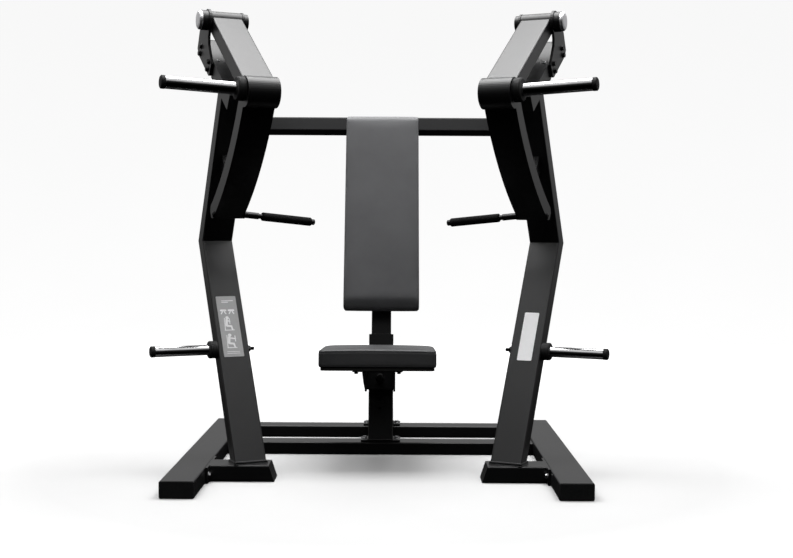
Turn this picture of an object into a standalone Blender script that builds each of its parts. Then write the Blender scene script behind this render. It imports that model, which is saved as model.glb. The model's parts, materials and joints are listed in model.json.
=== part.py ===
"""Plate-loaded wide chest press with two independent levers.

The machine stands on z = 0 with its front towards -Y and its plane of symmetry at x = 0. The origin is the
middle of its footprint. Each side is built in a vertical plane that is turned about Z: in that plane u runs
forwards, z runs up, and w runs outwards, square to the plane.
"""
import math

import bmesh
import bpy
from mathutils import Matrix, Vector

# Overall layout
GAP = 0.0003                 # between touching pieces
RAIL_LENGTH = 1.410
FRONT_Y = -RAIL_LENGTH / 2   # front face of the base
RAIL_OUTER_X = 0.737
TUBE_WIDE = 0.120            # the frame's box tube
TUBE_THIN = 0.060
WALL = 0.003
TUBE_RADIUS = 0.006

# Base
FOOT_FRONT = 0.292           # behind the front of the rails
FOOT_INNER_X = 0.375
FOOT_SLANT = 0.020
CROSS_DEEP = 0.100
CROSS_HIGH = 0.050
FRONT_CROSS = 0.855
REAR_CROSS = 1.275

# Side planes
PLANE_TURN = math.radians(24.5)
PLANE_X = 0.460
PLANE_Y = FRONT_Y + 0.319
LOWER_LEAN = math.radians(28.0)   # the lower upright leans back
UPPER_LEAN = math.radians(26.0)   # the upper upright leans forwards
BEND_Z = 0.863
BASE_PLATE = (0.127, 0.084, 0.008)
FLANGE = (0.250, 0.475, 0.008)    # front, rear and thickness of the foot's bolting flange

# Sloping tubes: t runs down the slope and s square to it
SLOPE = math.radians(35.0)
HEAD_S = 1.071
HEAD_REAR_T = -1.280
HEAD_FRONT_T = -0.857
BEAM_S = 1.200
PIVOT = Vector((-0.325, 1.698))   # (u, z) of the lever's axle
HOUSING = Vector((0.100, 1.392))
HOUSING_RADIUS = 0.055
LEVER_HALF = 0.059

# Pivot
SLEEVE_RADIUS = 0.035
BEARING_RADIUS = 0.026
BEARING_LENGTH = 0.015
AXLE_RADIUS = 0.0125
BRACKET_IN = 0.0605
OUTER_BRACKET = (0.010, 0.0375, 0.0950)    # plate thickness, boss radius, boss end
INNER_BRACKET = (0.008, 0.0315, 0.0845)
RUNNING_GAP = 0.00008

# Curved arm
ARM_TOP = Vector((0.0585, 1.352))
ARM_END = Vector((-0.318, 0.965))
ARM_RISE = 0.0328            # how far the middle of the arm stands off its chord
ARM_THICK = 0.056
ARM_STEPS = 14

# Middle lines of the plate horns
LOAD_AXIS = Vector((0.100, 1.400))
LOAD_TILT = math.radians(2.0)
STORE_AXIS = Vector((-0.244, 0.456))

# Handles
HANDLE = Vector((-0.275, 0.965))
HANDLE_DROOP = math.radians(5.5)

# Post, seat and backrest
POST_LEAN = math.radians(12.0)
POST_Y = FRONT_Y + 0.862
LOWER_POST = 0.100
UPPER_POST = 0.080
POST_STEP_UP = 0.4905
SPINE_HIGH = 0.060           # the tube that runs back from the post's foot
CROSSBAR_UP = 1.359
CROSSBAR_HALF = 0.590
SIDE_ARM_X = 0.545
SEAT_CENTRE = Vector((-0.0075, FRONT_Y + 0.665, 0.385))
CARRIAGE_X = -0.0035         # the carriage's middle: it has side play on the post
PIN_UP = 0.305               # the seat's locking pin, along the post
PIN_HOLES = 5
HOLE_STEP = 0.040
PIN_RADIUS = 0.006
SEAT_TILT = math.radians(3.0)
SEAT_SIZE = (0.445, 0.395, 0.070)
BACK_OUT = 0.029             # back of the backrest pad, forwards of the lower post's front face
BACK_SIZE = (0.306, 0.813, 0.075)
BACK_LOW_UP = 0.580

SIDES = (("left", -1), ("right", 1))
X, Y, Z = Vector((1, 0, 0)), Vector((0, 1, 0)), Vector((0, 0, 1))


# ------------------------------------------------------------------ materials
def finish(name, colour, roughness, metallic=0.0):
    made = bpy.data.materials.new(name)
    made.use_nodes = True
    shader = made.node_tree.nodes["Principled BSDF"]
    shader.inputs["Base Color"].default_value = (*colour, 1.0)
    shader.inputs["Roughness"].default_value = roughness
    shader.inputs["Metallic"].default_value = metallic
    made.diffuse_color = (*colour, 1.0)
    return made


# ------------------------------------------------------------------ shapes
def rounded_rectangle(wide, deep, radius, steps=3):
    """Points round a rectangle centred on the origin, with arcs at its corners."""
    points = []
    for number, (side_x, side_y) in enumerate(((1, 1), (-1, 1), (-1, -1), (1, -1))):
        centre = Vector((side_x * (wide / 2 - radius), side_y * (deep / 2 - radius)))
        for step in range(steps + 1):
            angle = math.pi / 2 * (number + step / steps)
            points.append(centre + radius * Vector((math.cos(angle), math.sin(angle))))
    return points


def arc(centre, radius, start, end, steps):
    """Points along an arc in a plane, from angle start to angle end."""
    angles = (start + (end - start) * step / steps for step in range(steps + 1))
    return [centre + radius * Vector((math.cos(a), math.sin(a))) for a in angles]


def bridge(mesh, first, second):
    for here in range(len(first)):
        after = (here + 1) % len(first)
        mesh.faces.new((first[here], first[after], second[after], second[here]))


def add_loops(mesh, loops):
    return [[mesh.verts.new(point) for point in loop] for loop in loops]


def solid_between(loops):
    """A closed solid through a row of loops."""
    mesh = bmesh.new()
    rings = add_loops(mesh, loops)
    for first, second in zip(rings, rings[1:]):
        bridge(mesh, first, second)
    mesh.faces.new(rings[0])
    mesh.faces.new(rings[-1])
    return mesh


def tube_loops(points, across, section, planes):
    """The section's points carried along a bent line, cut at each point by a plane."""
    loops = []
    for number, (point, plane) in enumerate(zip(points, planes)):
        first = min(number, len(points) - 2)
        run = (points[first + 1] - points[first]).normalized()
        side = run.cross(across).normalized()
        offsets = [across * a + side * b for a, b in section]
        loops.append([point + o - run * (o.dot(plane) / run.dot(plane)) for o in offsets])
    return loops


def box_tube(points, across, wide, deep, wall=WALL, radius=TUBE_RADIUS, first=None, last=None, shut=False):
    """A hollow box tube along points, open at its first end, and closed at its last end if shut."""
    runs = [(b - a).normalized() for a, b in zip(points, points[1:])]
    planes = [first or runs[0]]
    planes += [(a + b).normalized() for a, b in zip(runs, runs[1:])]
    planes.append(last or runs[-1])
    outside = rounded_rectangle(wide, deep, radius)
    inside = rounded_rectangle(wide - 2 * wall, deep - 2 * wall, max(radius - wall, 0.001))
    mesh = bmesh.new()
    outer = add_loops(mesh, tube_loops(points, across, outside, planes))
    inner_points = points[:-1] + [points[-1] - runs[-1] * (wall if shut else 0.0)]
    inner = add_loops(mesh, tube_loops(inner_points, across, inside, planes))
    for rings in (outer, inner):
        for before, after in zip(rings, rings[1:]):
            bridge(mesh, before, after)
    bridge(mesh, outer[0], inner[0])
    if shut:
        mesh.faces.new(outer[-1])
        mesh.faces.new(inner[-1])
    else:
        bridge(mesh, outer[-1], inner[-1])
    return mesh


def turned(profile, start, axis, ring=False, segments=36):
    """A solid turned about an axis, from (distance along it, radius) pairs. A ring has a bore."""
    mesh = bmesh.new()
    axis = axis.normalized()
    right = axis.orthogonal().normalized()
    up = axis.cross(right)
    rings = []
    for along, radius in profile:
        centre = start + axis * along
        if radius == 0:
            rings.append([mesh.verts.new(centre)])
            continue
        spokes = (2 * math.pi * n / segments for n in range(segments))
        rings.append([mesh.verts.new(centre + radius * (right * math.cos(a) + up * math.sin(a))) for a in spokes])
    if ring:
        rings.append(rings[0])
    for first, second in zip(rings, rings[1:]):
        if len(first) > 1 and len(second) > 1:
            bridge(mesh, first, second)
            continue
        point, edge = (first[0], second) if len(first) == 1 else (second[0], first)
        for here in range(segments):
            mesh.faces.new((point, edge[here], edge[(here + 1) % segments]))
    return mesh


def tube_profile(start, end, outer, inner):
    return [(start, outer), (end, outer), (end, inner), (start, inner)]


def rod_profile(*steps):
    """Profile of a plain stepped rod from (start, end, radius) steps."""
    points = [(steps[0][0], 0.0)]
    for start, end, radius in steps:
        points += [(start, radius), (end, radius)]
    return points + [(steps[-1][1], 0.0)]


# ------------------------------------------------------------------ objects
def add(name, mesh, material, parent=None, origin=(0, 0, 0)):
    """A named object whose own origin is at origin, in its parent's coordinates."""
    bmesh.ops.recalc_face_normals(mesh, faces=mesh.faces)
    bmesh.ops.translate(mesh, verts=mesh.verts, vec=-Vector(origin))
    data = bpy.data.meshes.new(name)
    mesh.to_mesh(data)
    mesh.free()
    data.materials.append(material)
    data.shade_smooth()
    data.set_sharp_from_angle(angle=math.radians(32))
    made = bpy.data.objects.new(name, data)
    bpy.context.scene.collection.objects.link(made)
    made.location = origin
    made.parent = parent
    return made


def combine(target, mesh, operation):
    """Cuts mesh from the target, or joins it on, with a hidden tool object."""
    tool = add(f"tool_{target.name}_{len(target.modifiers)}", mesh, target.data.materials[0], target.parent)
    tool.hide_render = True
    tool.hide_set(True)
    tool.display_type = "WIRE"
    change = target.modifiers.new(operation.lower(), "BOOLEAN")
    change.operation = operation
    change.solver = "EXACT"
    change.object = tool


def cut(target, mesh):
    combine(target, mesh, "DIFFERENCE")


def join(target, mesh):
    combine(target, mesh, "UNION")


# ------------------------------------------------------------------ the side planes
def slope_point(t, s):
    """(u, z) of a point given along and square to the slope."""
    return Vector((t * math.cos(SLOPE) + s * math.sin(SLOPE), -t * math.sin(SLOPE) + s * math.cos(SLOPE)))


def in_plane(point, w=0.0, side=1):
    return Vector((side * w, -point[0], point[1]))


def prism(outline, low, high, side=1):
    """An outline in (u, z) given a width from w = low to w = high."""
    return solid_between([[in_plane(p, w, side) for p in outline] for w in (low, high)])


def slope_box(t_low, t_high, s_low, s_high, half):
    corners = ((t_low, s_low), (t_high, s_low), (t_high, s_high), (t_low, s_high))
    return prism([slope_point(*corner) for corner in corners], -half, half)


def side_plane(name, side):
    """The empty that carries one side's pieces."""
    plane = bpy.data.objects.new(f"{name}_side_plane", None)
    bpy.context.scene.collection.objects.link(plane)
    plane.location = (side * PLANE_X, PLANE_Y, 0.0)
    plane.rotation_euler = (0.0, 0.0, -side * PLANE_TURN)
    return plane


def upright_front(z):
    """u of the upright's front face at height z."""
    if z <= BEND_Z:
        return -math.tan(LOWER_LEAN) * (z - TUBE_THIN)
    return -math.tan(LOWER_LEAN) * (BEND_Z - TUBE_THIN) + math.tan(UPPER_LEAN) * (z - BEND_Z)


def upright_nodes():
    """The middle line of the upright: on its base plate, at the bend, and under the head tube."""
    foot_z = TUBE_THIN + GAP + BASE_PLATE[2] - 0.0005
    half = TUBE_THIN / 2
    foot = Vector((upright_front(foot_z) - half / math.cos(LOWER_LEAN), foot_z))
    mitre = (LOWER_LEAN + UPPER_LEAN) / 2
    turn = (UPPER_LEAN - LOWER_LEAN) / 2
    reach = half / math.cos(mitre)
    bend = Vector((upright_front(BEND_Z), BEND_Z)) + reach * Vector((-math.cos(turn), math.sin(turn)))
    run = Vector((math.sin(UPPER_LEAN), math.cos(UPPER_LEAN)))
    square = Vector((math.sin(SLOPE), math.cos(SLOPE)))
    head_underside = HEAD_S - TUBE_THIN / 2 - GAP
    top = bend + run * ((head_underside - bend.dot(square)) / run.dot(square))
    return foot, bend, top


def make_upright(name, plane, steel):
    foot, bend, top = (in_plane(p) for p in upright_nodes())
    under_head = in_plane((math.sin(SLOPE), math.cos(SLOPE)))
    mesh = box_tube([foot, bend, top], X, TUBE_WIDE, TUBE_THIN, first=Z, last=under_head)
    upright = add(f"{name}_upright", mesh, steel, plane)
    wide, deep, thick = BASE_PLATE
    low = TUBE_THIN + GAP
    section = rounded_rectangle(wide, deep, 0.008)
    plate = [[foot + Vector((a, b, z - foot.z)) for a, b in section] for z in (low, low + thick)]
    join(upright, solid_between(plate))
    weld_arm_stop(upright)


def make_head_tube(name, plane, steel):
    half = TUBE_THIN / 2
    rear = slope_point(HEAD_REAR_T, HEAD_S)
    up = math.pi / 2 - SLOPE
    outline = arc(rear, half, up, up + math.pi, 12)
    outline += [slope_point(HEAD_FRONT_T, HEAD_S - half), slope_point(HEAD_FRONT_T, HEAD_S + half)]
    head = add(f"{name}_head_tube", prism(outline, -TUBE_WIDE / 2, TUBE_WIDE / 2), steel, plane)
    inner = half - WALL
    cut(head, slope_box(HEAD_REAR_T, HEAD_FRONT_T - WALL, HEAD_S - inner, HEAD_S + inner, TUBE_WIDE / 2 - WALL))
    drain = in_plane(slope_point(HEAD_FRONT_T - 0.030, HEAD_S))
    cut(head, turned(rod_profile((-0.010, 0.010 + half, 0.004)), drain, -in_plane(slope_point(0, 1)), segments=12))


def bracket_outline(radius):
    """The plate that carries the axle's boss above the rear end of the head tube."""
    half = TUBE_THIN / 2
    outline = arc(PIVOT, radius, math.radians(-55), math.radians(150), 14)
    outline += [Vector((-0.428, 1.672)), Vector((-0.446, 1.636))]
    outline += [slope_point(HEAD_REAR_T - 0.020, HEAD_S - 0.016), slope_point(HEAD_REAR_T + 0.006, HEAD_S - half)]
    outline += [slope_point(-1.108, HEAD_S - half), slope_point(-1.100, HEAD_S - half + 0.008)]
    outline += [slope_point(-1.100, HEAD_S + half - 0.004)]
    outline += [Vector((-0.296, 1.575)), Vector((-0.312, 1.605)), Vector((-0.314, 1.635))]
    return outline


def make_bracket(name, plane, steel, side, outward):
    where = "outer" if outward > 0 else "inner"
    thick, radius, boss_end = OUTER_BRACKET if outward > 0 else INNER_BRACKET
    reach = side * outward
    bracket = add(f"{name}_pivot_bracket_{where}",
                  prism(bracket_outline(radius + 0.005), BRACKET_IN, BRACKET_IN + thick, reach), steel, plane)
    centre = in_plane(PIVOT)
    join(bracket, turned(rod_profile((BRACKET_IN + 0.002, boss_end, radius)), centre, X * reach))
    bore = rod_profile((BRACKET_IN - 0.010, boss_end + 0.010, AXLE_RADIUS + RUNNING_GAP))
    cut(bracket, turned(bore, centre, X * reach, segments=48))


def make_axle(name, plane, chrome, side):
    """The pivot pin, with a domed head outside and a small retaining head inside."""
    inner, outer = -INNER_BRACKET[2] - GAP, OUTER_BRACKET[2] + GAP
    profile = [(inner - 0.006, 0.0), (inner - 0.006, 0.013), (inner - 0.005, 0.014), (inner, 0.014),
               (inner, AXLE_RADIUS), (outer, AXLE_RADIUS), (outer, 0.036), (outer + 0.006, 0.036),
               (outer + 0.011, 0.031), (outer + 0.013, 0.022), (outer + 0.0135, 0.0)]
    add(f"{name}_pivot_axle", turned(profile, in_plane(PIVOT), X * side, segments=48), chrome, plane, in_plane(PIVOT))


def make_bearings(name, plane, bearing, side):
    for where, outward in (("outer", side), ("inner", -side)):
        end = LEVER_HALF - 0.001
        profile = tube_profile(end - BEARING_LENGTH, end, BEARING_RADIUS, AXLE_RADIUS + RUNNING_GAP)
        add(f"{name}_pivot_bearing_{where}", turned(profile, in_plane(PIVOT), X * outward, ring=True, segments=48),
            bearing, plane, in_plane(PIVOT))


def make_lever_beam(name, plane, steel):
    """The sloping box tube with its axle sleeve, cut round to meet the housing."""
    half = TUBE_THIN / 2
    rear_t = PIVOT.x * math.cos(SLOPE) - PIVOT.y * math.sin(SLOPE)
    front_t = HOUSING.x * math.cos(SLOPE) - HOUSING.y * math.sin(SLOPE)
    down = in_plane(slope_point(1, 0))
    section = rounded_rectangle(2 * LEVER_HALF, TUBE_THIN, TUBE_RADIUS)
    loops = tube_loops([in_plane(slope_point(rear_t, BEAM_S)), in_plane(slope_point(front_t, BEAM_S))],
                       X, section, [down, down])
    beam = add(f"{name}_lever_beam", solid_between(loops), steel, plane, in_plane(PIVOT))
    sleeve = turned(rod_profile((-LEVER_HALF, LEVER_HALF, SLEEVE_RADIUS)), in_plane(PIVOT), X)
    join(beam, sleeve)
    saddle = turned(rod_profile((-0.1, 0.1, HOUSING_RADIUS + GAP)), in_plane(HOUSING), X, segments=48)
    cut(beam, slope_box(rear_t + SLEEVE_RADIUS + 0.004, front_t, BEAM_S - half + WALL, BEAM_S + half - WALL,
                        LEVER_HALF - WALL))
    cut(beam, saddle)
    cut(beam, prism(arm_outline(-2 * GAP), -0.1, 0.1))
    bore = turned(rod_profile((-0.1, 0.1, BEARING_RADIUS + GAP)), in_plane(PIVOT), X, segments=48)
    cut(beam, bore)


def arm_centre():
    """The centre and radius of the arm's middle line."""
    chord = ARM_END - ARM_TOP
    radius = chord.length ** 2 / (8 * ARM_RISE) + ARM_RISE / 2
    square = Vector((-chord.y, chord.x)).normalized()
    middle = (ARM_TOP + ARM_END) / 2
    return middle - square * (radius - ARM_RISE), radius


def arm_outline(inset=0.0):
    """The arm's curved band, from under the housing to its rounded lower end."""
    centre, radius = arm_centre()
    top, end = (math.atan2(*(p - centre).yx) for p in (ARM_TOP, ARM_END))
    half = ARM_THICK / 2 - inset
    top += 0.045 / radius
    end += inset / radius
    front = arc(centre, radius + half, top, end + 0.014, ARM_STEPS)
    rear = arc(centre, radius - half, end + 0.014, top, ARM_STEPS)
    corner = 0.014 * radius
    tip = Vector((math.cos(end), math.sin(end)))
    nose = [centre + tip * (radius + half - corner * 0.9), centre + tip * (radius - half + corner * 0.9)]
    return front + nose + rear


def make_curved_arm(name, plane, steel):
    """The hanging arm with the round housing at its top, one welded hollow piece."""
    arm = add(f"{name}_curved_arm", prism(arm_outline(), -LEVER_HALF, LEVER_HALF), steel, plane, in_plane(PIVOT))
    housing = turned(rod_profile((-LEVER_HALF, LEVER_HALF, HOUSING_RADIUS)), in_plane(HOUSING), X, segments=48)
    join(arm, housing)
    cut(arm, prism(arm_outline(WALL), -LEVER_HALF + WALL, LEVER_HALF - WALL))
    room = turned(rod_profile((-LEVER_HALF + WALL, LEVER_HALF - WALL, HOUSING_RADIUS - WALL)),
                  in_plane(HOUSING), X, segments=48)
    cut(arm, room)
    centre, radius = arm_centre()
    angle = math.atan2(*(ARM_END - centre).yx) + 0.030
    outwards = Vector((math.cos(angle), math.sin(angle)))
    drain = in_plane(centre + outwards * (radius - ARM_THICK / 2 + 0.010))
    cut(arm, turned(rod_profile((0, 0.030, 0.004)), drain, -in_plane(outwards), segments=12))


# ------------------------------------------------------------------ horns, handles and stops
def make_horn(name, plane, finishes, side, base, tilt, start, collar, sleeve, cap):
    """A horn for plates: a chrome sleeve, with a rubber collar round its root and a rubber cap in its end.

    collar, sleeve and cap are (length, radius) pairs. The sleeve's length is what it shows past the collar.
    """
    chrome, rubber = finishes
    axis = Vector((side * math.cos(tilt), 0.0, math.sin(tilt)))
    origin = in_plane(base, start, side)
    inner = sleeve[1] - 0.0035
    bore = sleeve[1] + GAP
    collar_end = collar[0]
    sleeve_end = collar_end + sleeve[0]
    edge = 0.004
    profile = [(0, collar[1]), (collar_end - edge, collar[1]), (collar_end, collar[1] - edge),
               (collar_end, bore), (0, bore)]
    add(f"{name}_collar", turned(profile, origin, axis, ring=True, segments=48), rubber, plane)
    add(name, turned(tube_profile(0.0, sleeve_end, sleeve[1], inner), origin, axis, ring=True, segments=48),
        chrome, plane)
    cap_start, cap_end = sleeve_end + GAP, sleeve_end + cap[0]
    plug = inner - GAP
    profile = [(sleeve_end - 0.020, 0), (sleeve_end - 0.020, plug), (cap_start, plug), (cap_start, cap[1]),
               (cap_end - edge, cap[1]), (cap_end - 0.001, cap[1] - edge), (cap_end, 0)]
    add(f"{name}_cap", turned(profile, origin, axis), rubber, plane)


def make_handle(name, plane, steel, rubber, side):
    axis = Vector((-side * math.cos(HANDLE_DROOP), 0.0, -math.sin(HANDLE_DROOP)))
    origin = in_plane(HANDLE, -LEVER_HALF - 0.0016, side)
    core, grip_start, grip_end = 0.0095, 0.070, 0.271
    profile = [(0, 0), (0, 0.0125), (0.056, 0.0125), (0.058, core), (grip_end + GAP, core),
               (grip_end + GAP, 0.0112), (grip_end + 0.013, 0.0112), (grip_end + 0.015, 0.009), (grip_end + 0.015, 0)]
    add(f"{name}_handle_spindle", turned(profile, origin, axis, segments=40), steel, plane)
    grip = [(grip_start, 0.0145), (grip_start + 0.003, 0.0165), (grip_end - 0.003, 0.0165), (grip_end, 0.0145),
            (grip_end, core + RUNNING_GAP), (grip_start, core + RUNNING_GAP)]
    add(f"{name}_handle_grip", turned(grip, origin, axis, ring=True, segments=40), rubber, plane, origin)


def make_lever_bumper(name, plane, rubber):
    """The rubber buffer on the head tube that the beam rests on."""
    low, high = HEAD_S + TUBE_THIN / 2 + GAP, BEAM_S - TUBE_THIN / 2 - 0.0005
    base = in_plane(slope_point(-0.895, 0.0)) + in_plane(slope_point(0, 1)) * low
    tall = high - low
    profile = [(0, 0), (0, 0.020), (tall - 0.006, 0.020), (tall - 0.001, 0.016), (tall, 0)]
    add(f"{name}_lever_bumper", turned(profile, base, in_plane(slope_point(0, 1)), segments=28), rubber, plane)


def arm_stop_line():
    """Where the stop meets the curved arm's rear face, and the direction from there to the upright."""
    centre, radius = arm_centre()
    angle = math.radians(-50.0)
    inward = -Vector((math.cos(angle), math.sin(angle)))
    return centre - inward * (radius - ARM_THICK / 2), inward


def weld_arm_stop(upright):
    """The short closed tube that stands out from the upright behind the curved arm."""
    face, inward = arm_stop_line()
    square = Vector((math.cos(UPPER_LEAN), -math.sin(UPPER_LEAN)))
    in_wall = Vector((upright_front(BEND_Z), BEND_Z)) - square * WALL / 2
    start = face + inward * (0.0155 + GAP)
    end = start + inward * ((in_wall - start).dot(square) / inward.dot(square))
    join(upright, box_tube([in_plane(end), in_plane(start)], X, 0.060, 0.050, radius=0.004,
                           first=in_plane(square), shut=True))
    below = in_plane(start + inward * 0.030)
    cut(upright, turned(rod_profile((0.010, 0.040, 0.004)), below, -in_plane((-inward.y, inward.x)), segments=12))


def make_arm_stop_pad(name, plane, rubber):
    """The rubber pad that the curved arm rests against."""
    face, inward = arm_stop_line()
    along = in_plane(inward).cross(X)
    section = rounded_rectangle(0.064, 0.054, 0.006)
    rows = ((0.0155, 1.0), (0.004, 1.0), (0.0012, 0.9))
    loops = [[in_plane(face + inward * depth) + X * a * share + along * b * share for a, b in section]
             for depth, share in rows]
    add(f"{name}_arm_stop_pad", solid_between(loops), rubber, plane)


def make_side(name, side, steel, chrome, rubber, bearing):
    plane = side_plane(name, side)
    make_upright(name, plane, steel)
    make_head_tube(name, plane, steel)
    for outward in (1, -1):
        make_bracket(name, plane, steel, side, outward)
    make_axle(name, plane, chrome, side)
    make_bearings(name, plane, bearing, side)
    make_lever_beam(name, plane, steel)
    make_curved_arm(name, plane, steel)
    make_horn(f"{name}_loading_horn", plane, (chrome, rubber), side, LOAD_AXIS, LOAD_TILT, LEVER_HALF + 0.0018,
              collar=(0.029, 0.0425), sleeve=(0.251, 0.0225), cap=(0.017, 0.0235))
    make_horn(f"{name}_storage_horn", plane, (chrome, rubber), side, STORE_AXIS, 0.0, TUBE_WIDE / 2 + GAP,
              collar=(0.030, 0.033), sleeve=(0.204, 0.020), cap=(0.018, 0.021))
    make_handle(name, plane, steel, rubber, side)
    make_lever_bumper(name, plane, rubber)
    make_arm_stop_pad(name, plane, rubber)


# ------------------------------------------------------------------ base
def make_base(steel, rubber):
    for name, side in SIDES:
        x = side * (RAIL_OUTER_X - TUBE_WIDE / 2)
        z = TUBE_THIN / 2
        plate = 0.006
        front, rear = Vector((x, FRONT_Y + plate, z)), Vector((x, -FRONT_Y, z))
        add(f"{name}_base_rail", box_tube([front, rear], X, TUBE_WIDE, TUBE_THIN, shut=True), steel)
        make_rail_cap(name, Vector((x, FRONT_Y, z)), plate, rubber)
        make_foot(name, side, steel)
    for name, start in (("front", FRONT_CROSS), ("rear", REAR_CROSS)):
        reach = RAIL_OUTER_X - TUBE_WIDE - 2 * GAP
        middle = Vector((0, FRONT_Y + start + CROSS_DEEP / 2, CROSS_HIGH / 2))
        add(f"{name}_cross_tube", box_tube([middle - X * reach, middle + X * reach], Y, CROSS_DEEP, CROSS_HIGH), steel)


def make_rail_cap(name, face, plate, rubber):
    """The end cap that plugs the front of a rail."""
    wide, high = TUBE_WIDE, TUBE_THIN
    plug = rounded_rectangle(wide - 2 * WALL - 0.0008, high - 2 * WALL - 0.0008, 0.0034)
    outer = rounded_rectangle(wide, high, TUBE_RADIUS)
    inset = rounded_rectangle(wide - 0.004, high - 0.004, TUBE_RADIUS - 0.002)
    rows = ((inset, 0.0), (outer, 0.002), (outer, plate - GAP), (plug, plate - GAP), (plug, plate + 0.025))
    loops = [[face + Vector((a, depth, b)) for a, b in section] for section, depth in rows]
    add(f"{name}_rail_front_cap", solid_between(loops), rubber)


def make_foot(name, side, steel):
    """The short tube that the upright stands on, with its slanting closed end."""
    y, z = FRONT_Y + FOOT_FRONT + TUBE_WIDE / 2, TUBE_THIN / 2
    rail_side = Vector((side * (RAIL_OUTER_X - TUBE_WIDE - 2 * GAP), y, z))
    end = Vector((side * (FOOT_INNER_X + FOOT_SLANT / 2), y, z))
    slant = Vector((-side * TUBE_THIN, 0, FOOT_SLANT)).normalized()
    foot = add(f"{name}_front_foot", box_tube([rail_side, end], Y, TUBE_WIDE, TUBE_THIN, last=slant, shut=True),
               steel)
    front, rear, thick = FLANGE
    lap = 0.0015
    for low, high in ((front, FOOT_FRONT + lap), (FOOT_FRONT + TUBE_WIDE - lap, rear)):
        section = rounded_rectangle(high - low, TUBE_THIN - 0.001, 0.0006, 1)
        middle = Vector((rail_side.x, FRONT_Y + (low + high) / 2, z))
        loops = [[middle + Vector((-side * depth, a, b)) for a, b in section] for depth in (0.0, thick)]
        join(foot, solid_between(loops))


# ------------------------------------------------------------------ post, seat and backrest
def on_post(x, out, up):
    """A point given forwards of the lower post's front face and up along the leaning post."""
    lean, rise = math.sin(POST_LEAN), math.cos(POST_LEAN)
    return Vector((x, POST_Y - out * rise + up * lean, out * lean + up * rise))


def post_box(wide, out_low, out_high, up_low, up_high, radius=0.004, x=0.0):
    section = rounded_rectangle(wide, out_high - out_low, radius)
    middle = (out_low + out_high) / 2
    return solid_between([[on_post(x + a, middle + b, up) for a, b in section] for up in (up_low, up_high)])


def make_posts(steel):
    up_axis = on_post(0, 0, 1) - on_post(0, 0, 0)
    plate_low, plate_high = CROSS_HIGH + GAP, CROSS_HIGH + GAP + 0.0085
    middle = -LOWER_POST / 2
    foot_up = (plate_high - 0.0005 - middle * math.sin(POST_LEAN)) / math.cos(POST_LEAN)
    lower = add("lower_post", box_tube([on_post(0, middle, foot_up), on_post(0, middle, POST_STEP_UP)], X,
                                       LOWER_POST, LOWER_POST, wall=0.0097, first=Z), steel)
    spine_middle = plate_high - 0.0005 + SPINE_HIGH / 2
    in_rear_wall = on_post(0, -LOWER_POST + 0.0050, foot_up + SPINE_HIGH / 2).y
    rear_end = FRONT_Y + REAR_CROSS + CROSS_DEEP
    spine = [Vector((0, in_rear_wall, spine_middle)), Vector((0, rear_end, spine_middle))]
    leaning = on_post(0, 1, 0) - on_post(0, 0, 0)
    join(lower, box_tube(spine, X, LOWER_POST - 0.002, SPINE_HIGH, first=leaning))
    for start in (FRONT_CROSS, REAR_CROSS):
        y = FRONT_Y + start + CROSS_DEEP / 2
        plate = rounded_rectangle(0.160, CROSS_DEEP - 0.006, 0.008)
        levels = (plate_low, plate_high)
        join(lower, solid_between([[Vector((a, y + b, level)) for a, b in plate] for level in levels]))
    for number in range(PIN_HOLES):
        up = PIN_UP + (number - PIN_HOLES + 2) * HOLE_STEP
        hole = rod_profile((-0.015, 0.005, PIN_RADIUS + 0.0006))
        cut(lower, turned(hole, on_post(CARRIAGE_X, 0, up), on_post(0, 1, 0) - on_post(0, 0, 0), segments=20))
    start, end = 0.385, CROSSBAR_UP - 2 * GAP
    upper = add("upper_post", box_tube([on_post(0, middle, start), on_post(0, middle, end)], X,
                                       UPPER_POST, UPPER_POST, last=up_axis), steel)
    front = (UPPER_POST - LOWER_POST) / 2
    board_back = BACK_OUT - 0.0146
    for up in (0.700, 1.220):
        join(upper, post_box(0.060, front - 0.001, board_back - 0.0005, up - 0.045, up + 0.045))


def make_crossbar(steel):
    """The bar behind the backrest and the two arms that tie it to the uprights."""
    front = (UPPER_POST - LOWER_POST) / 2
    middle = front - UPPER_POST / 2
    up = CROSSBAR_UP + TUBE_THIN / 2
    leaning = on_post(0, 1, 0) - on_post(0, 0, 0)
    bar = box_tube([on_post(-CROSSBAR_HALF, middle, up), on_post(CROSSBAR_HALF, middle, up)], leaning,
                   UPPER_POST, TUBE_THIN, shut=True)
    add("rear_crossbar", bar, steel)
    height = on_post(0, middle, up).z
    for name, side in SIDES:
        turn = Matrix.Rotation(-side * PLANE_TURN, 4, "Z")
        square = turn @ in_plane((-math.cos(UPPER_LEAN), math.sin(UPPER_LEAN)))
        corner = Vector((upright_front(BEND_Z), BEND_Z))
        rear = corner - (TUBE_THIN + 0.0006) * Vector((math.cos(UPPER_LEAN), -math.sin(UPPER_LEAN)))
        on_upright = turn @ in_plane(rear) + Vector((side * PLANE_X, PLANE_Y, 0))
        near = Vector((side * SIDE_ARM_X, 0, height))
        near.y = on_upright.y - (square.x * (near.x - on_upright.x) + square.z * (near.z - on_upright.z)) / square.y
        on_bar = on_post(0, front + 0.0006, up)
        far = Vector((near.x, on_bar.y - (near.z - on_bar.z) * leaning.z / leaning.y, height))
        add(f"{name}_crossbar_arm", box_tube([near, far], X, 0.060, 0.050, first=square, last=leaning), steel)


def seat_point(x, forward, up):
    tilt_y, tilt_z = math.cos(SEAT_TILT), math.sin(SEAT_TILT)
    return SEAT_CENTRE + Vector((x, -forward * tilt_y + up * tilt_z, forward * tilt_z + up * tilt_y))


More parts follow.
